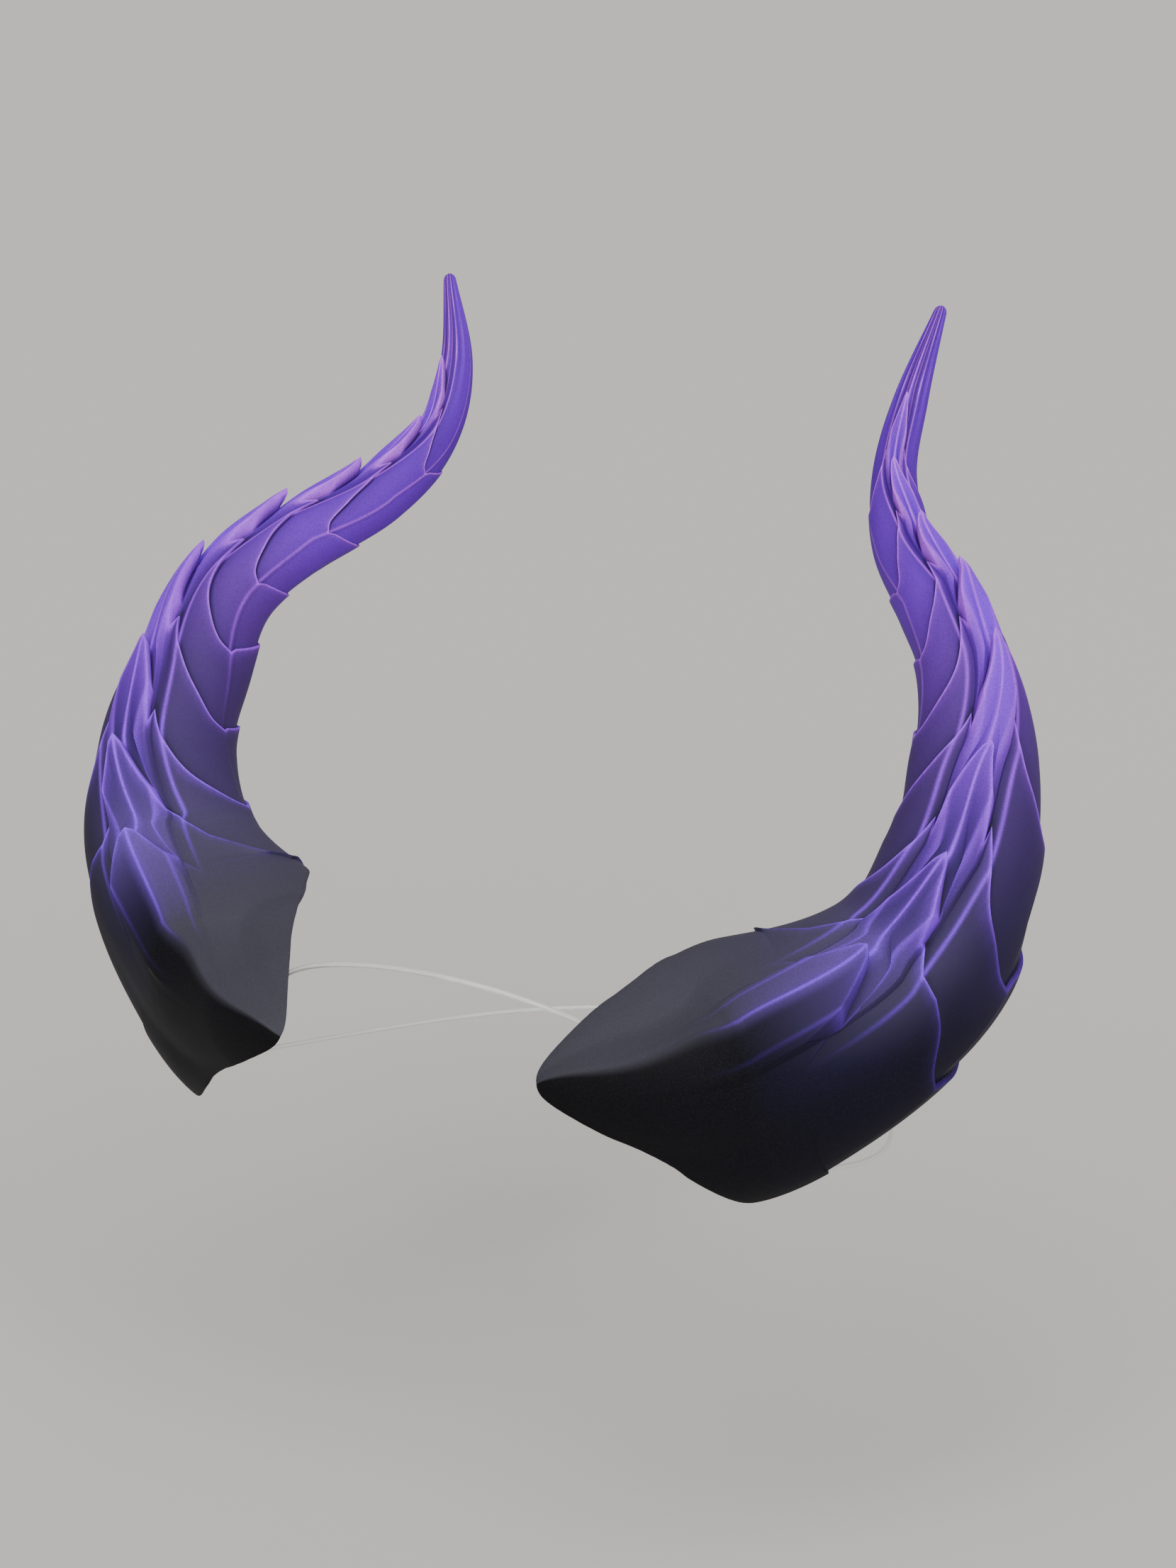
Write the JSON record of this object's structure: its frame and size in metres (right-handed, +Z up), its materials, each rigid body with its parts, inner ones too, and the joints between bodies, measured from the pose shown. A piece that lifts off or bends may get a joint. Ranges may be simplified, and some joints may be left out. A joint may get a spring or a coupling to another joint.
{
  "type": "dragon horns headband",
  "caption": "Mirrored pair of scaled, swept-back dragon horns with concave seats, tied together by a clear elastic that runs over the brow and round the back of the head.",
  "frame": {"origin": "on the wearer's middle plane, midway between the seats of the two horns", "axes": "+Z up, -Y the way the wearer looks, +X towards the wearer's left"},
  "size_m": [0.241, 0.1815, 0.2062],
  "materials": {
    "horn": "hand painted, satin: black at the seat to violet at the point, pale lilac on the edges of the scales",
    "elastic": "clear, glossy"
  },
  "bodies": {
    "root": {"horn_left": "horn", "horn_right": "horn", "elastic_front": "elastic", "elastic_back": "elastic"}
  },
  "joints": []
}
